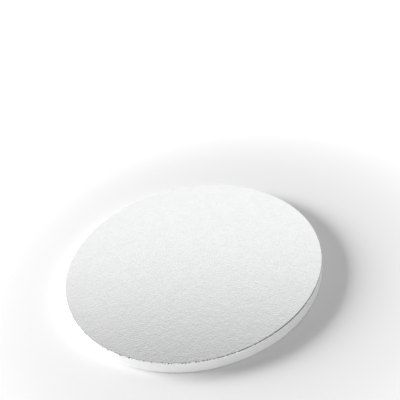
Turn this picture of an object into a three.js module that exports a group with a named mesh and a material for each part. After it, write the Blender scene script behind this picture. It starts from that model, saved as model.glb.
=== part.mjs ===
// Round cake drum: a thick board disc, wrapped in foil paper, lying flat as it is used.
// Units are millimetres and +Z is up. The origin is the centre of the underside.

import * as THREE from 'three';

// Driving dimensions of the finished board
const BOARD_DIAMETER = 254;
const BOARD_THICKNESS = 12.7;

// Thickness of each covering
const TOP_SHEET_THICKNESS = 0.4;
const BASE_SHEET_THICKNESS = 0.3;
const BAND_THICKNESS = 0.3;

// How far the band is turned in over the top and under the bottom of the board
const TOP_TURN_IN = 14;
const BASE_TURN_IN = 18;

// Outer radius of the band where it rolls over the corners of the board
const CORNER_RADIUS = 1;

// How far the cut edge of each sheet stays inside the rim
const TOP_SHEET_SET_IN = 0.2;
const BASE_SHEET_SET_IN = 5;

// The die presses the top sheet's upper edge into a small round
const SHEET_EDGE_RADIUS = 0.3;

// Fineness of the round forms
const SIDES_AROUND = 120;
const STEPS_IN_CORNER = 3;
const STEPS_IN_SHEET_EDGE = 2;

// Radii and heights that follow from the driving dimensions
const rimRadius = BOARD_DIAMETER / 2;
const coreBottom = BASE_SHEET_THICKNESS;
const coreTop = BOARD_THICKNESS - TOP_SHEET_THICKNESS;
const coreCornerRadius = CORNER_RADIUS - BAND_THICKNESS;
const lowerLandRadius = rimRadius - BASE_TURN_IN;
const upperLandRadius = rimRadius - TOP_TURN_IN;
const lowerLandHeight = coreBottom + BAND_THICKNESS;
const upperLandHeight = coreTop - BAND_THICKNESS;

const QUARTER_TURN = Math.PI / 2;

// Points of a quarter arc in the outline's plane, from one angle to the next quarter
function quarterArc(centreRadius, centreHeight, radius, startAngle, steps) {
  const points = [];
  for (let step = 0; step <= steps; step += 1) {
    const angle = startAngle + QUARTER_TURN * step / steps;
    points.push([
      centreRadius + radius * Math.cos(angle),
      centreHeight + radius * Math.sin(angle),
    ]);
  }
  return points;
}

// The lower and upper corners of the board, rounded to a given radius about shared centres
function lowerCorner(radius) {
  const centreHeight = coreBottom + CORNER_RADIUS;
  return quarterArc(rimRadius - CORNER_RADIUS, centreHeight, radius, -QUARTER_TURN, STEPS_IN_CORNER);
}

function upperCorner(radius) {
  const centreHeight = coreTop - CORNER_RADIUS;
  return quarterArc(rimRadius - CORNER_RADIUS, centreHeight, radius, 0, STEPS_IN_CORNER);
}

// Turns an outline of [radius, height] points about the board's axis into a named solid
function revolve(name, outline, material) {
  const points = outline.map(([radius, height]) => new THREE.Vector2(radius, height));
  const geometry = new THREE.LatheGeometry(points, SIDES_AROUND);
  geometry.rotateX(QUARTER_TURN);
  const mesh = new THREE.Mesh(geometry, material);
  mesh.name = name;
  return mesh;
}

// Materials
function boardMaterial() {
  return new THREE.MeshStandardMaterial({ color: 0x9c8468, roughness: 0.9, metalness: 0 });
}

function smoothFoilMaterial() {
  return new THREE.MeshStandardMaterial({ color: 0xdcdddf, roughness: 0.35, metalness: 0.6 });
}

function embossedFoilMaterial() {
  return new THREE.MeshStandardMaterial({ color: 0xe2e3e4, roughness: 0.3, metalness: 0.9 });
}

function plainPaperMaterial() {
  return new THREE.MeshStandardMaterial({ color: 0xf2f1ee, roughness: 0.85, metalness: 0 });
}

// The pressed board disc, with a shallow land at each corner where the band's turn-ins sink in
function boardCore() {
  const outline = [
    [0, coreBottom],
    [lowerLandRadius, coreBottom],
    [lowerLandRadius, lowerLandHeight],
    ...lowerCorner(coreCornerRadius),
    ...upperCorner(coreCornerRadius),
    [upperLandRadius, upperLandHeight],
    [upperLandRadius, coreTop],
    [0, coreTop],
  ];
  return revolve('board_core', outline, boardMaterial());
}

// The smooth strip round the rim, rolled over both corners and turned in on both faces
function edgeBand() {
  const outside = [
    [lowerLandRadius, coreBottom],
    ...lowerCorner(CORNER_RADIUS),
    ...upperCorner(CORNER_RADIUS),
    [upperLandRadius, coreTop],
  ];
  const inside = [
    [lowerLandRadius, lowerLandHeight],
    ...lowerCorner(coreCornerRadius),
    ...upperCorner(coreCornerRadius),
    [upperLandRadius, upperLandHeight],
  ];
  const outline = [...outside, ...inside.reverse(), outside[0]];
  return revolve('edge_band', outline, smoothFoilMaterial());
}

// The embossed disc on the top, its edge lying over the start of the band's rolled corner
function topSheet() {
  const radius = rimRadius - TOP_SHEET_SET_IN;
  const outline = [
    [0, coreTop],
    [radius, coreTop],
    ...quarterArc(
      radius - SHEET_EDGE_RADIUS,
      BOARD_THICKNESS - SHEET_EDGE_RADIUS,
      SHEET_EDGE_RADIUS,
      0,
      STEPS_IN_SHEET_EDGE,
    ),
    [0, BOARD_THICKNESS],
  ];
  return revolve('top_sheet', outline, embossedFoilMaterial());
}

// The plain disc that the board stands on, glued over the band's lower turn-in
function baseSheet() {
  const radius = rimRadius - BASE_SHEET_SET_IN;
  const outline = [
    [0, 0],
    [radius, 0],
    [radius, coreBottom],
    [0, coreBottom],
  ];
  return revolve('base_sheet', outline, plainPaperMaterial());
}

const cakeBoard = new THREE.Group();
cakeBoard.name = 'cake_board';
cakeBoard.add(boardCore(), edgeBand(), topSheet(), baseSheet());

export default cakeBoard;
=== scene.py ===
"""A round cake board lying flat.

It has embossed silver foil on top, a smooth foil band round the rim and plain paper below.
Lengths are in metres, +Z is up, and the board's axis is the Z axis.
"""

import math

import bpy
import numpy as np
from mathutils import Matrix, Vector


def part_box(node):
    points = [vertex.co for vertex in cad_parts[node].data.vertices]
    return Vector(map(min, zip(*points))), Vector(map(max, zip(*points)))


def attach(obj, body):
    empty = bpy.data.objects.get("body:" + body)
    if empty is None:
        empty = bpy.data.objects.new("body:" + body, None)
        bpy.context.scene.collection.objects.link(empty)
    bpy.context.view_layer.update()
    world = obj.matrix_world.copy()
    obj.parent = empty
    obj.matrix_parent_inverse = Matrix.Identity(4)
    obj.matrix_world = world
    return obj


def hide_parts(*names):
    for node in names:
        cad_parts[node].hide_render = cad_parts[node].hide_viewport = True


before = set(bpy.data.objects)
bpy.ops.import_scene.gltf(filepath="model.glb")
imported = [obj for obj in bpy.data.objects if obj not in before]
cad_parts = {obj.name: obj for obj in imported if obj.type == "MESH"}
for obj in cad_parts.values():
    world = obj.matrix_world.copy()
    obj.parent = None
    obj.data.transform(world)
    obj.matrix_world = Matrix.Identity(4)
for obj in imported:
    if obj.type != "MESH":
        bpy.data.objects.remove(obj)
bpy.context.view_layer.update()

MM = 0.001
QUARTER_TURN = math.pi / 2
FULL_TURN = 2 * math.pi

# Places and sizes that come from the frame
SHEET_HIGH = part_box("top_sheet")[1]
BAND_LOW, BAND_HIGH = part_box("edge_band")
CORE_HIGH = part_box("board_core")[1]
BASE_LOW, BASE_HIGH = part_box("base_sheet")
SHEET_RADIUS = SHEET_HIGH.x
RIM_RADIUS = BAND_HIGH.x
CORE_RADIUS = CORE_HIGH.x
BASE_RADIUS = BASE_HIGH.x
BAND_THICKNESS = RIM_RADIUS - CORE_RADIUS

# The band's rolled corners and turned-in widths, as the solid has them
CORNER_RADIUS = 1.0 * MM
TOP_TURN_IN = 14 * MM
BASE_TURN_IN = 18 * MM

# The top sheet's mesh: rings of 6, 12, 18 ... points, the last one close to the one before it
RING_SECTORS = 6
RING_SPACING = 0.74 * MM
LAST_RING_WIDTH = 0.1 * MM

# The embossed grain: pebbles with creases between them, strayed and uneven, over a ripple
GRAIN_SEED = 11
PEBBLE_SIZE = 2.4 * MM
PEBBLE_DEPTH = 0.032 * MM
PEBBLE_JITTER = (0.08, 0.92)
CREASE_WIDTH = 0.55
STRAY_SIZE = 3.1 * MM
STRAY_REACH = 0.5 * MM
UNEVEN_SIZE = 5.3 * MM
UNEVEN_SHARE = 0.25
RIPPLE_SIZE = 2.6 * MM
RIPPLE_DEPTH = 0.018 * MM

# The top sheet's edge, bent down over the band's corner, and the cut that runs back below it
EDGE_ROUND = 1.2 * MM
EDGE_BEND = math.radians(60)
EDGE_ROUND_STEPS = 8
EDGE_UNDERCUT = 0.2 * MM
EDGE_GAP = 0.03 * MM

# How far the cut strays from its circle, in long and short waves, and the width it fades over
CUT_STRAY = 0.1 * MM
CUT_STRAY_WIDTH = 6 * MM
CUT_LONG_SHARE, CUT_LONG_SEED = 0.6, 21
CUT_SHORT_SHARE, CUT_SHORT_SEED = 0.4, 22

# Smooth variation around a circle is a sum of waves: counts per turn and share of each
LONG_WAVES = ((3, 0.3), (5, 0.4), (8, 0.5), (13, 0.6), (21, 0.6), (34, 0.5))
SHORT_WAVES = ((55, 0.5), (89, 0.6), (144, 0.6), (233, 0.5), (300, 0.4))

# The band's mesh
SIDES_AROUND = 900
TURN_IN_STEPS = 8
WALL_STEPS = 6
OUTER_CORNER_STEPS = 8
INNER_CORNER_STEPS = 2

# The band's slight waves on the rim, and the step where it laps over itself
RIM_SEED = 31
RIM_WAVINESS = 0.04 * MM
LAP_ANGLE = math.radians(97)
LAP_STEP = 0.08 * MM
LAP_FADE = math.radians(9)
LAP_END = math.radians(359.6)

# The fine pleats where the band is turned in below
PLEAT_SEED = 32
PLEATS = 210
PLEAT_DEPTH = 0.12 * MM
PLEAT_SWAY = 2.5
PLEAT_UNEVENNESS = 0.4
PLEAT_FADE = 4 * MM
SAME_HEIGHT = 1e-7

# The base sheet's mesh, and the faint cockle that the glue leaves in it
BASE_RINGS = 80
COCKLE_SEED = 41
COCKLE_SIZE = 14 * MM
COCKLE_DEPTH = 0.03 * MM
COCKLE_FADE_FROM = 0.97

# Noise values that count as the low and the high end of a tone or a roughness
NOISE_LOW = 0.3
NOISE_HIGH = 0.7

# The embossed foil: its tones, its roughness and two sizes of grain too fine for the mesh
FOIL_TONES = ((0.885, 0.888, 0.893), (0.915, 0.917, 0.92))
FOIL_TONE_SIZE = 9 * MM
FOIL_ROUGHNESS = (0.21, 0.29)
FOIL_ROUGHNESS_SIZE = 1.3 * MM
FOIL_GRAIN_SIZE, FOIL_GRAIN_DEPTH = 1.2 * MM, 0.014 * MM
FOIL_FINE_SIZE, FOIL_FINE_DEPTH = 0.35 * MM, 0.004 * MM

# How far below the face the top sheet's foil ends and the painted shade on its cut edge begins: a dark
# grey that stands for the shadow of the seam
PAINTED_EDGE_DEPTH = 0.2 * MM
PAINTED_EDGE_BLEND = 0.06 * MM
PAINTED_SHADE_COLOUR = (0.36, 0.36, 0.36, 1)

# White specks of painted highlight on the cut, on the lit left-front side: they show where noise,
# raised towards that side, passes a level
PAINTED_HIGHLIGHT_COLOUR = (0.93, 0.93, 0.92, 1)
HIGHLIGHT_SPECK_SIZE = 1.8 * MM
HIGHLIGHT_SPECK_REACH = 0.13 * MM
HIGHLIGHT_SIDE = Vector((-0.64, -0.77, 0))
HIGHLIGHT_FROM = 0.7
HIGHLIGHT_FEWEST, HIGHLIGHT_MOST = -0.2, 0.16
HIGHLIGHT_NONE, HIGHLIGHT_FULL = 0.46, 0.54

# The smooth foil of the band
BAND_TONES = ((0.87, 0.872, 0.877), (0.9, 0.902, 0.905))
BAND_TONE_SIZE = 12 * MM
BAND_METALLIC = 0.25
BAND_ROUGHNESS = (0.33, 0.41)
BAND_ROUGHNESS_SIZE = 4 * MM
BAND_WAVE_SIZE, BAND_WAVE_DEPTH = 2.2 * MM, 0.01 * MM
BAND_WAVE_STRETCH = (1, 1, 2.5)

# The plain paper of the base
PAPER_TONES = ((0.84, 0.835, 0.815), (0.9, 0.895, 0.88))
PAPER_TONE_SIZE = 3 * MM
PAPER_ROUGHNESS = 0.85
PAPER_FIBRE_SIZE, PAPER_FIBRE_DEPTH = 0.5 * MM, 0.02 * MM
PAPER_FIBRE_STRETCH = (2.5, 1, 1)

# The pressed board of the core
BOARD_TONES = ((0.38, 0.29, 0.19), (0.5, 0.4, 0.28))
BOARD_TONE_SIZE = 1.5 * MM
BOARD_TONE_STRETCH = (3, 1, 0.6)
BOARD_ROUGHNESS = 0.9
BOARD_FIBRE_SIZE, BOARD_FIBRE_DEPTH = 0.6 * MM, 0.05 * MM

# The floor, and the glow that lifts it to white away from the board
FLOOR_HALF_WIDTH = 60.0
FLOOR_DROP = 0.02 * MM
FLOOR_COLOUR = (0.95, 0.95, 0.95, 1)
GLOW_NEAR, GLOW_FAR = 0.0, 0.6
GLOW_FROM, GLOW_TO = 0.15, 0.45

# The studio's back wall: levels at elevations in degrees, measured up its middle
WALL_STOPS = (
    (0, 0.8),
    (12, 0.8),
    (26, 0.94),
    (36, 1.14),
    (42, 1.21),
    (46, 0.8),
    (49.5, 0.3),
    (53, 0.2),
    (60, 0.25),
    (90, 0.25),
)
WALL_UP = Vector((-0.2, -0.6, 1.0))

# The wall is lit at the back and to the left, and the rest of the room is dim
LIT_SIDE = Vector((-0.34, 0.94, 0))
DIM_LEVEL = 0.22
DIM_FROM, LIT_FROM = -0.15, 0.4

# All round the room there is a white skirting below and a pale ceiling above, by elevation
SKIRTING_LEVEL = 1.05
SKIRTING_FROM, SKIRTING_TO = 8, 26
CEILING_LEVEL = 0.6
CEILING_FROM, CEILING_TO = 68, 82

# Soft panels that face the board, by azimuth (0 is +Y, 90 is +X) and elevation in degrees
LAMPS = {
    "key_panel": {
        "azimuth": -66, "elevation": 20, "distance": 3.0,
        "width": 1.5, "height": 1.0, "radiance": 28.0,
    },
    "front_panel": {
        "azimuth": 170, "elevation": 6, "distance": 3.5,
        "width": 5.0, "height": 0.5, "radiance": 3.8,
    },
}

# The camera's place behind and above the face, its turns in degrees and its lens in millimetres
CAMERA_BACK = 0.5656
CAMERA_UP = 0.4994
CAMERA_PITCH = 37.0
CAMERA_PAN = 1.99
CAMERA_ROLL = -10.79
CAMERA_LENS = 68.9
CAMERA_SENSOR = 36


# Variation

def waves_around(angles, waves, seed):
    """A smooth closed variation around the circle, about -1 to 1."""
    rng = np.random.default_rng(seed)
    total = np.zeros_like(angles)
    for count, share in waves:
        total += share * np.sin(count * angles + rng.uniform(0, FULL_TURN))
    return total / math.sqrt(sum(share * share for _, share in waves)) / 2


def eased(t):
    """A value from 0 to 1 with level ends."""
    return t * t * (3 - 2 * t)


def smoothstep(value, low, high):
    """A smooth rise from 0 at low to 1 at high."""
    return eased(np.clip((value - low) / (high - low), 0, 1))


def cell_noise(points, size, seed):
    """Distances from each point to the nearest and second nearest seed of a jittered grid, in cells."""
    rng = np.random.default_rng(seed)
    cells = points / size
    base = np.floor(cells).astype(int)
    low = base.min(axis=0) - 1
    extent = base.max(axis=0) - low + 3
    jitter = rng.uniform(*PEBBLE_JITTER, size=(extent[0], extent[1], 2))
    nearest = np.full(len(points), np.inf)
    second = np.full(len(points), np.inf)
    for step_x in (-1, 0, 1):
        for step_y in (-1, 0, 1):
            cell = base + (step_x, step_y)
            index = cell - low
            seeds = cell + jitter[index[:, 0], index[:, 1]]
            distance = np.hypot(*(cells - seeds).T)
            second = np.minimum(second, np.maximum(nearest, distance))
            nearest = np.minimum(nearest, distance)
    return nearest, second


def value_noise(points, size, seed):
    """Smooth noise from -1 to 1 on a square lattice."""
    rng = np.random.default_rng(seed)
    cells = points / size
    base = np.floor(cells).astype(int)
    low = base.min(axis=0)
    extent = base.max(axis=0) - low + 2
    lattice = rng.uniform(-1, 1, size=(extent[0], extent[1]))
    across, along = eased(cells - base).T
    i, j = (base - low).T
    near = lattice[i, j] * (1 - across) + lattice[i + 1, j] * across
    far = lattice[i, j + 1] * (1 - across) + lattice[i + 1, j + 1] * across
    return near * (1 - along) + far * along


def pebble_height(points):
    """Height of the embossed grain at points on the sheet, in metres, at most 0."""
    stray = np.stack([value_noise(points, STRAY_SIZE, GRAIN_SEED + k) for k in (1, 2)], axis=1)
    nearest, second = cell_noise(points + stray * STRAY_REACH, PEBBLE_SIZE, GRAIN_SEED)
    dome = smoothstep(second - nearest, 0.0, CREASE_WIDTH)
    change = value_noise(points, UNEVEN_SIZE, GRAIN_SEED + 3)
    depth = PEBBLE_DEPTH * (1 - UNEVEN_SHARE + UNEVEN_SHARE * change)
    ripple = value_noise(points, RIPPLE_SIZE, GRAIN_SEED + 4)
    return (dome - 1) * depth + (ripple - 1) * RIPPLE_DEPTH / 2


# Meshes

def mesh_object(name, vertices, faces):
    """A smooth-shaded mesh object that rides on the board."""
    mesh = bpy.data.meshes.new(name)
    mesh.from_pydata([tuple(v) for v in vertices], [], faces)
    mesh.update()
    mesh.shade_smooth()
    piece = bpy.data.objects.new(name, mesh)
    bpy.context.scene.collection.objects.link(piece)
    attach(piece, "root")
    return piece


def disc_points(radius, ring_count):
    """Points of a disc: one at the centre and rings of 6, 12, 18 ... round it."""
    rings = [np.zeros((1, 2))]
    spacing = (radius - LAST_RING_WIDTH) / (ring_count - 1)
    for ring in range(1, ring_count + 1):
        count = RING_SECTORS * ring
        angles = np.arange(count) * FULL_TURN / count
        ring_radius = spacing * ring if ring < ring_count else radius
        rings.append(ring_radius * np.stack([np.cos(angles), np.sin(angles)], axis=1))
    return np.concatenate(rings)


def ring_start(ring):
    """Index of a ring's first point."""
    return 1 + RING_SECTORS * ring * (ring - 1) // 2 if ring else 0


def disc_faces(ring_count):
    """Triangles between the rings, wound to face up."""
    faces = [(0, 1 + k, 1 + (k + 1) % RING_SECTORS) for k in range(RING_SECTORS)]
    for ring in range(1, ring_count):
        inner, outer = ring_start(ring), ring_start(ring + 1)
        inner_count, outer_count = RING_SECTORS * ring, RING_SECTORS * (ring + 1)
        for sector in range(RING_SECTORS):
            for k in range(ring + 1):
                a = inner + (sector * ring + k) % inner_count
                b = outer + sector * (ring + 1) + k
                c = outer + (sector * (ring + 1) + k + 1) % outer_count
                faces.append((a, b, c))
                if k < ring:
                    d = inner + (sector * ring + k + 1) % inner_count
                    faces.append((a, c, d))
    return faces


def close_below(vertices, faces, loop, steps):
    """Carries an outer loop of points through steps of (radius scale, height) and closes it.

    The loop's own unevenness in height fades out over the steps, and the last one gets a fan.
    """
    count = len(loop)
    previous = list(loop)
    outline = np.array([vertices[k] for k in loop])
    unevenness = outline[:, 2] - outline[:, 2].max()
    for number, (scale, height) in enumerate(steps, 1):
        first = len(vertices)
        ring = outline.copy()
        ring[:, :2] *= scale
        ring[:, 2] = height + unevenness * (1 - number / len(steps))
        vertices.extend(ring)
        current = list(range(first, first + count))
        for k in range(count):
            n = (k + 1) % count
            faces.append((previous[k], current[k], current[n], previous[n]))
        previous = current
    centre = len(vertices)
    vertices.append(np.array([0, 0, steps[-1][1]]))
    for k in range(count):
        faces.append((previous[k], centre, previous[(k + 1) % count]))


def closed_disc(name, points, ring_count, steps):
    """A solid disc with a given shown face, its outer ring carried through steps and closed."""
    vertices = list(points)
    faces = disc_faces(ring_count)
    first = ring_start(ring_count)
    loop = range(first, first + RING_SECTORS * ring_count)
    close_below(vertices, faces, loop, steps)
    return mesh_object(name, vertices, faces)


def sheet_edge(start_radius):
    """Steps of (radius scale, height) down the sheet's bent edge and back under it."""
    steps = []
    for step in range(1, EDGE_ROUND_STEPS + 1):
        turn = EDGE_BEND * step / EDGE_ROUND_STEPS
        radius = start_radius + EDGE_ROUND * math.sin(turn)
        steps.append((radius / start_radius, SHEET_HIGH.z - EDGE_ROUND * (1 - math.cos(turn))))
    corner_centre = RIM_RADIUS - CORNER_RADIUS
    for radius in (SHEET_RADIUS - EDGE_UNDERCUT, corner_centre):
        drop = CORNER_RADIUS - math.sqrt(CORNER_RADIUS ** 2 - (radius - corner_centre) ** 2)
        steps.append((radius / start_radius, BAND_HIGH.z - drop + EDGE_GAP))
    return steps


def embossed_sheet():
    """The top sheet with its embossed grain, its uneven cut edge and its edge pressed round."""
    ring_count = round(SHEET_RADIUS / RING_SPACING)
    flat_radius = SHEET_RADIUS - EDGE_ROUND * math.sin(EDGE_BEND)
    flat = disc_points(flat_radius, ring_count)
    distance = np.hypot(*flat.T)
    angles = np.arctan2(flat[:, 1], flat[:, 0])
    stray = CUT_LONG_SHARE * waves_around(angles, LONG_WAVES, CUT_LONG_SEED)
    stray += CUT_SHORT_SHARE * waves_around(angles, SHORT_WAVES, CUT_SHORT_SEED)
    near_edge = smoothstep(distance, SHEET_RADIUS - CUT_STRAY_WIDTH, SHEET_RADIUS)
    flat *= (1 + near_edge * CUT_STRAY * stray / np.maximum(distance, MM))[:, None]
    points = np.column_stack([flat, SHEET_HIGH.z + pebble_height(flat)])
    return closed_disc("embossed_foil_sheet", points, ring_count, sheet_edge(flat_radius))


def arc(centre_radius, centre_height, radius, start, steps):
    """Points of a quarter arc in the outline's plane."""
    angles = start + np.linspace(0, QUARTER_TURN, steps + 1)
    radii = centre_radius + radius * np.cos(angles)
    return np.column_stack([radii, centre_height + radius * np.sin(angles)])


def band_outline():
    """The shown and the hidden side of the band's section, as [radius, height] points."""
    centre = RIM_RADIUS - CORNER_RADIUS
    low, high = BAND_LOW.z + CORNER_RADIUS, BAND_HIGH.z - CORNER_RADIUS
    inner_radius = CORNER_RADIUS - BAND_THICKNESS
    turn_in = np.linspace(RIM_RADIUS - BASE_TURN_IN, centre, TURN_IN_STEPS + 1)[:-1]
    wall = np.linspace(low, high, WALL_STEPS + 1)[1:-1]
    outside = np.concatenate([
        np.column_stack([turn_in, np.full_like(turn_in, BAND_LOW.z)]),
        arc(centre, low, CORNER_RADIUS, -QUARTER_TURN, OUTER_CORNER_STEPS),
        np.column_stack([np.full_like(wall, RIM_RADIUS), wall]),
        arc(centre, high, CORNER_RADIUS, 0, OUTER_CORNER_STEPS),
        [[RIM_RADIUS - TOP_TURN_IN, BAND_HIGH.z]],
    ])
    inside = np.concatenate([
        [[RIM_RADIUS - TOP_TURN_IN, BAND_HIGH.z - BAND_THICKNESS]],
        arc(centre, high, inner_radius, 0, INNER_CORNER_STEPS)[::-1],
        arc(centre, low, inner_radius, -QUARTER_TURN, INNER_CORNER_STEPS)[::-1],
        [[RIM_RADIUS - BASE_TURN_IN, BAND_LOW.z + BAND_THICKNESS]],
    ])
    return outside, inside


def band_lap(angles):
    """Height of the step where the band laps over itself, fading out round the rim."""
    past_lap = np.mod(angles - LAP_ANGLE, FULL_TURN)
    lap = LAP_STEP * (1 - smoothstep(past_lap, 0.0, LAP_FADE))
    lap[past_lap > LAP_END] = 0
    return lap


def band_pleats(angles, wave):
    """Rise of the pleats around the lower turn-in, about 0 to 1."""
    pleat = 0.5 + 0.5 * np.sin(PLEATS * angles + PLEAT_SWAY * wave)
    unevenness = PLEAT_UNEVENNESS * waves_around(angles, SHORT_WAVES, PLEAT_SEED)
    return pleat * (1 - PLEAT_UNEVENNESS + unevenness)


def smooth_band():
    """The foil band: wavy on the rim, lapped over itself at the back, pleated where it turns in."""
    outside, inside = band_outline()
    outline = np.concatenate([outside, inside])
    angles = np.arange(SIDES_AROUND) * FULL_TURN / SIDES_AROUND
    wave = waves_around(angles, LONG_WAVES, RIM_SEED)
    lap = band_lap(angles)
    pleat = band_pleats(angles, wave)
    rings = []
    for index, (radius, height) in enumerate(outline):
        shift = lift = np.zeros_like(angles)
        if index < len(outside):
            on_wall = smoothstep(height, BAND_LOW.z, BAND_LOW.z + CORNER_RADIUS)
            shift = (RIM_WAVINESS * (wave - 1) + lap - LAP_STEP) * on_wall
            if height <= BAND_LOW.z + SAME_HEIGHT:
                inwards = np.clip((RIM_RADIUS - CORNER_RADIUS - radius) / PLEAT_FADE, 0, 1)
                lift = PLEAT_DEPTH * pleat * inwards
        rings.append(np.column_stack([
            (radius + shift) * np.cos(angles),
            (radius + shift) * np.sin(angles),
            height + lift,
        ]))
    faces = []
    for row in range(len(outline)):
        following = (row + 1) % len(outline)
        for k in range(SIDES_AROUND):
            n = (k + 1) % SIDES_AROUND
            faces.append((
                row * SIDES_AROUND + k,
                row * SIDES_AROUND + n,
                following * SIDES_AROUND + n,
                following * SIDES_AROUND + k,
            ))
    return mesh_object("smooth_foil_band", np.concatenate(rings), faces)


def plain_base():
    """The paper disc below, facing down, with a faint cockle from the glue."""
    flat = disc_points(BASE_RADIUS, BASE_RINGS)
    cockle = COCKLE_DEPTH * (1 + value_noise(flat, COCKLE_SIZE, COCKLE_SEED)) / 2
    cockle *= 1 - smoothstep(np.hypot(*flat.T), COCKLE_FADE_FROM * BASE_RADIUS, BASE_RADIUS)
    points = np.column_stack([flat[:, 0], -flat[:, 1], BASE_LOW.z + cockle])
    return closed_disc("plain_paper_base", points, BASE_RINGS, ((1.0, BASE_HIGH.z),))


# Building blocks of materials

def new_material(name):
    """A material, its node tree, its shader and the socket of object coordinates."""
    material = bpy.data.materials.new(name)
    material.use_nodes = True
    tree = material.node_tree
    shader = tree.nodes["Principled BSDF"]
    coordinates = tree.nodes.new("ShaderNodeTexCoord")
    return material, tree, shader, coordinates.outputs["Object"]


def noise(tree, place, size, detail=2.0, stretch=(1, 1, 1)):
    """Noise of a given feature size in metres, stretched along the axes."""
    mapping = tree.nodes.new("ShaderNodeMapping")
    mapping.inputs["Scale"].default_value = [1 / (size * s) for s in stretch]
    tree.links.new(place, mapping.inputs["Vector"])
    texture = tree.nodes.new("ShaderNodeTexNoise")
    texture.inputs["Scale"].default_value = 1.0
    texture.inputs["Detail"].default_value = detail
    tree.links.new(mapping.outputs["Vector"], texture.inputs["Vector"])
    return texture.outputs["Fac"]


def span(tree, value, start, end, low=0.0, high=1.0, smooth=False):
    """A value that runs from low to high while another runs from start to end."""
    node = tree.nodes.new("ShaderNodeMapRange")
    if smooth:
        node.interpolation_type = "SMOOTHSTEP"
    node.inputs["From Min"].default_value = start
    node.inputs["From Max"].default_value = end
    node.inputs["To Min"].default_value = low
    node.inputs["To Max"].default_value = high
    tree.links.new(value, node.inputs["Value"])
    return node.outputs["Result"]


def arithmetic(tree, operation, first, second):
    """A value worked out from two others."""
    node = tree.nodes.new("ShaderNodeMath")
    node.operation = operation
    tree.links.new(first, node.inputs[0])
    tree.links.new(second, node.inputs[1])
    return node.outputs[0]


def reach(tree, place, direction):
    """How far a place lies along a direction."""
    node = tree.nodes.new("ShaderNodeVectorMath")
    node.operation = "DOT_PRODUCT"
    node.inputs[1].default_value = direction
    tree.links.new(place, node.inputs[0])
    return node.outputs["Value"]


def height_of(tree, place):
    """The Z of a place."""
    node = tree.nodes.new("ShaderNodeSeparateXYZ")
    tree.links.new(place, node.inputs["Vector"])
    return node.outputs["Z"]


def colours(tree, value, tones):
    """A colour that runs through a pair of tones with a noise value."""
    node = tree.nodes.new("ShaderNodeValToRGB")
    for stop, position, tone in zip(node.color_ramp.elements, (NOISE_LOW, NOISE_HIGH), tones):
        stop.position = position
        stop.color = (*tone, 1)
    tree.links.new(value, node.inputs["Fac"])
    return node.outputs["Color"]


def mixed(tree, share, first, second):
    """A colour between two others."""
    node = tree.nodes.new("ShaderNodeMix")
    node.data_type = "RGBA"
    sockets = {socket.identifier: socket for socket in node.inputs}
    tree.links.new(share, sockets["Factor_Float"])
    for end, colour in (("A_Color", first), ("B_Color", second)):
        if isinstance(colour, tuple):
            sockets[end].default_value = colour
        else:
            tree.links.new(colour, sockets[end])
    return next(socket for socket in node.outputs if socket.identifier == "Result_Color")


def bump(tree, shader, height, depth, under=None):
    """Bump of a given depth, over another one where there is one."""
    node = tree.nodes.new("ShaderNodeBump")
    node.inputs["Strength"].default_value = 1.0
    node.inputs["Distance"].default_value = depth
    tree.links.new(height, node.inputs["Height"])
    if under is not None:
        tree.links.new(under, node.inputs["Normal"])
    tree.links.new(node.outputs["Normal"], shader.inputs["Normal"])
    return node.outputs["Normal"]


def vary_roughness(tree, shader, value, ends):
    """Roughness that runs between two ends with a noise value."""
    tree.links.new(span(tree, value, NOISE_LOW, NOISE_HIGH, *ends), shader.inputs["Roughness"])


# Materials

def painted_highlight_specks(tree, place):
    """Where the cut edge gets white specks of painted highlight: a row of specks along the lit part of
    the circle.
    """
    towards = reach(tree, place, HIGHLIGHT_SIDE / SHEET_RADIUS)
    side = span(tree, towards, HIGHLIGHT_FROM, 1, HIGHLIGHT_FEWEST, HIGHLIGHT_MOST)
    fibre_and_speck_noise = noise(tree, place, HIGHLIGHT_SPECK_SIZE, 0)
    return span(tree, arithmetic(tree, "ADD", fibre_and_speck_noise, side), HIGHLIGHT_NONE, HIGHLIGHT_FULL)


def embossed_foil():
    """Bright foil on the face and the bend; at the cut, dark grey painted shade with white specks of
    painted highlight.
    """
    material, tree, shader, place = new_material("embossed_foil")
    # Painted highlight: white, non-metallic specks on the cut edge towards the lit side, reaching a
    # little up the bend
    highlight_specks = painted_highlight_specks(tree, place)
    highlight_reach = span(tree, highlight_specks, 0, 1, 0, -HIGHLIGHT_SPECK_REACH)
    height = arithmetic(tree, "ADD", height_of(tree, place), highlight_reach)
    foil_end = SHEET_HIGH.z - PAINTED_EDGE_DEPTH
    foil = span(tree, height, foil_end - PAINTED_EDGE_BLEND, foil_end)
    tone = colours(tree, noise(tree, place, FOIL_TONE_SIZE, 3), FOIL_TONES)
    # Painted shade: the cut edge below the foil is dark grey, white where the painted highlight specks
    # are
    painted_edge = mixed(tree, highlight_specks, PAINTED_SHADE_COLOUR, PAINTED_HIGHLIGHT_COLOUR)
    tree.links.new(mixed(tree, foil, painted_edge, tone), shader.inputs["Base Color"])
    metal = arithmetic(tree, "MAXIMUM", foil, span(tree, highlight_specks, 0, 1, 1, 0))
    tree.links.new(metal, shader.inputs["Metallic"])
    vary_roughness(tree, shader, noise(tree, place, FOIL_ROUGHNESS_SIZE), FOIL_ROUGHNESS)
    grain = bump(tree, shader, noise(tree, place, FOIL_GRAIN_SIZE, 2), FOIL_GRAIN_DEPTH)
    bump(tree, shader, noise(tree, place, FOIL_FINE_SIZE, 1), FOIL_FINE_DEPTH, grain)
    return material


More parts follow.
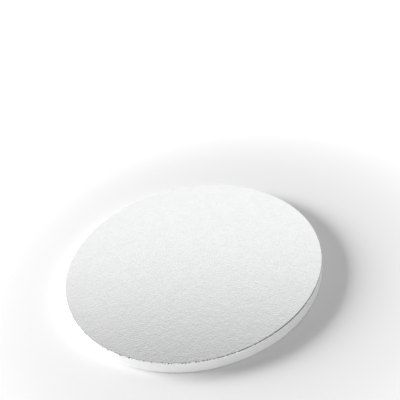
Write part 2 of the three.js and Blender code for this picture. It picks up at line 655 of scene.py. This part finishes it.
def smooth_foil():
    """The band's pale satin foil."""
    material, tree, shader, place = new_material("smooth_foil")
    shader.inputs["Metallic"].default_value = BAND_METALLIC
    tone = colours(tree, noise(tree, place, BAND_TONE_SIZE, 2), BAND_TONES)
    tree.links.new(tone, shader.inputs["Base Color"])
    vary_roughness(tree, shader, noise(tree, place, BAND_ROUGHNESS_SIZE), BAND_ROUGHNESS)
    waves = noise(tree, place, BAND_WAVE_SIZE, 2, BAND_WAVE_STRETCH)
    bump(tree, shader, waves, BAND_WAVE_DEPTH)
    return material


def plain_paper():
    """The base's matte white paper."""
    material, tree, shader, place = new_material("plain_paper")
    tone = colours(tree, noise(tree, place, PAPER_TONE_SIZE, 5), PAPER_TONES)
    tree.links.new(tone, shader.inputs["Base Color"])
    shader.inputs["Roughness"].default_value = PAPER_ROUGHNESS
    fibre_and_speck_noise = noise(tree, place, PAPER_FIBRE_SIZE, 4, PAPER_FIBRE_STRETCH)
    bump(tree, shader, fibre_and_speck_noise, PAPER_FIBRE_DEPTH)
    return material


def pressed_board():
    """The core's raw board."""
    material, tree, shader, place = new_material("pressed_board")
    tone = colours(tree, noise(tree, place, BOARD_TONE_SIZE, 5, BOARD_TONE_STRETCH), BOARD_TONES)
    tree.links.new(tone, shader.inputs["Base Color"])
    shader.inputs["Roughness"].default_value = BOARD_ROUGHNESS
    bump(tree, shader, noise(tree, place, BOARD_FIBRE_SIZE, 4), BOARD_FIBRE_DEPTH)
    return material


# Pieces

def dress(piece, material, node):
    """Gives a piece its material and hides the imported part that it stands in for."""
    piece.data.materials.clear()
    piece.data.materials.append(material)
    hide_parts(node)


def build_board():
    dress(embossed_sheet(), embossed_foil(), "top_sheet")
    dress(smooth_band(), smooth_foil(), "edge_band")
    dress(plain_base(), plain_paper(), "base_sheet")
    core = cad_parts["board_core"]
    core.data.materials.clear()
    core.data.materials.append(pressed_board())


# Stage

def floor_material():
    """White paper that keeps shadows and glows a little for the camera, in foil and through glass."""
    material = bpy.data.materials.new("floor")
    material.use_nodes = True
    tree = material.node_tree
    tree.nodes.clear()
    diffuse = tree.nodes.new("ShaderNodeBsdfDiffuse")
    diffuse.inputs["Color"].default_value = FLOOR_COLOUR
    glow = tree.nodes.new("ShaderNodeEmission")
    paths = tree.nodes.new("ShaderNodeLightPath").outputs
    seen = arithmetic(tree, "MAXIMUM", paths["Is Camera Ray"], paths["Is Glossy Ray"])
    seen = arithmetic(tree, "MAXIMUM", seen, paths["Is Transmission Ray"])
    place = tree.nodes.new("ShaderNodeTexCoord")
    away = tree.nodes.new("ShaderNodeVectorMath")
    away.operation = "LENGTH"
    tree.links.new(place.outputs["Object"], away.inputs[0])
    level = span(tree, away.outputs["Value"], GLOW_FROM, GLOW_TO, GLOW_NEAR, GLOW_FAR, smooth=True)
    tree.links.new(arithmetic(tree, "MULTIPLY", seen, level), glow.inputs["Strength"])
    add = tree.nodes.new("ShaderNodeAddShader")
    tree.links.new(diffuse.outputs[0], add.inputs[0])
    tree.links.new(glow.outputs[0], add.inputs[1])
    output = tree.nodes.new("ShaderNodeOutputMaterial")
    tree.links.new(add.outputs[0], output.inputs["Surface"])
    return material


def build_floor():
    half = FLOOR_HALF_WIDTH
    mesh = bpy.data.meshes.new("floor")
    corners = [(-half, -half, 0), (half, -half, 0), (half, half, 0), (-half, half, 0)]
    mesh.from_pydata(corners, [], [(0, 1, 2, 3)])
    floor = bpy.data.objects.new("floor", mesh)
    floor.location.z = BASE_LOW.z - FLOOR_DROP
    bpy.context.scene.collection.objects.link(floor)
    mesh.materials.append(floor_material())


def wall_place(elevation):
    """Where a height on the middle of the back wall lies along WALL_UP."""
    angle = math.radians(elevation)
    return WALL_UP.dot(Vector((0, math.cos(angle), math.sin(angle))))


def wall_level(tree, direction):
    """The back wall's level, from a ramp with a stop at each elevation of WALL_STOPS."""
    low, high = wall_place(0), wall_place(90)
    ramp = tree.nodes.new("ShaderNodeValToRGB")
    stops = ramp.color_ramp.elements
    while len(stops) < len(WALL_STOPS):
        stops.new(0.5)
    for stop, (elevation, level) in zip(stops, WALL_STOPS):
        stop.position = (wall_place(elevation) - low) / (high - low)
        stop.color = (level, level, level, 1)
    tree.links.new(span(tree, reach(tree, direction, WALL_UP), low, high), ramp.inputs["Fac"])
    return ramp.outputs["Color"]


def height_band(tree, height, start, end, low_level, high_level):
    """A level that changes smoothly from one to the other between two elevations in degrees."""
    start_height, end_height = (math.sin(math.radians(angle)) for angle in (start, end))
    return span(tree, height, start_height, end_height, low_level, high_level, smooth=True)


def build_world():
    """The room: a lit back wall, dim elsewhere, with its skirting and its ceiling."""
    world = bpy.data.worlds.new("studio")
    bpy.context.scene.world = world
    world.use_nodes = True
    tree = world.node_tree
    direction = tree.nodes.new("ShaderNodeTexCoord").outputs["Generated"]
    lit = span(tree, reach(tree, direction, LIT_SIDE), DIM_FROM, LIT_FROM, smooth=True)
    room = tree.nodes.new("ShaderNodeMapRange")
    room.clamp = False
    room.inputs["To Min"].default_value = DIM_LEVEL
    tree.links.new(lit, room.inputs["Value"])
    tree.links.new(wall_level(tree, direction), room.inputs["To Max"])
    height = height_of(tree, direction)
    skirting = height_band(tree, height, SKIRTING_FROM, SKIRTING_TO, SKIRTING_LEVEL, 0)
    ceiling = height_band(tree, height, CEILING_FROM, CEILING_TO, 0, CEILING_LEVEL)
    level = arithmetic(tree, "MAXIMUM", room.outputs["Result"], skirting)
    level = arithmetic(tree, "MAXIMUM", level, ceiling)
    tree.links.new(level, tree.nodes["Background"].inputs["Color"])


def area_lamp(name, azimuth, elevation, distance, width, height, radiance):
    """A soft panel that faces the board and that the camera doesn't see."""
    lamp = bpy.data.lights.new(name, "AREA")
    lamp.shape = "RECTANGLE"
    lamp.size, lamp.size_y = width, height
    lamp.energy = radiance * math.pi * width * height
    panel = bpy.data.objects.new(name, lamp)
    a, e = math.radians(azimuth), math.radians(elevation)
    away = Vector((math.sin(a) * math.cos(e), math.cos(a) * math.cos(e), math.sin(e)))
    panel.location = away * distance
    panel.rotation_mode = "QUATERNION"
    panel.rotation_quaternion = away.to_track_quat("Z", "Y")
    panel.visible_camera = False
    bpy.context.scene.collection.objects.link(panel)


def build_lights():
    for name, values in LAMPS.items():
        area_lamp(name, **values)


def build_camera():
    """The camera, where it shows the board as the photograph does."""
    data = bpy.data.cameras.new("camera")
    data.lens = CAMERA_LENS
    data.sensor_width = CAMERA_SENSOR
    camera = bpy.data.objects.new("camera", data)
    turn = (
        Matrix.Rotation(math.radians(-CAMERA_PAN), 4, "Z")
        @ Matrix.Rotation(math.radians(90 - CAMERA_PITCH), 4, "X")
        @ Matrix.Rotation(math.radians(CAMERA_ROLL), 4, "Z")
    )
    place = Matrix.Translation((0, -CAMERA_BACK, SHEET_HIGH.z + CAMERA_UP))
    camera.matrix_world = place @ turn
    bpy.context.scene.collection.objects.link(camera)
    bpy.context.scene.camera = camera


build_camera()
build_board()
build_floor()
build_world()
build_lights()
bpy.context.scene.view_settings.view_transform = "Standard"
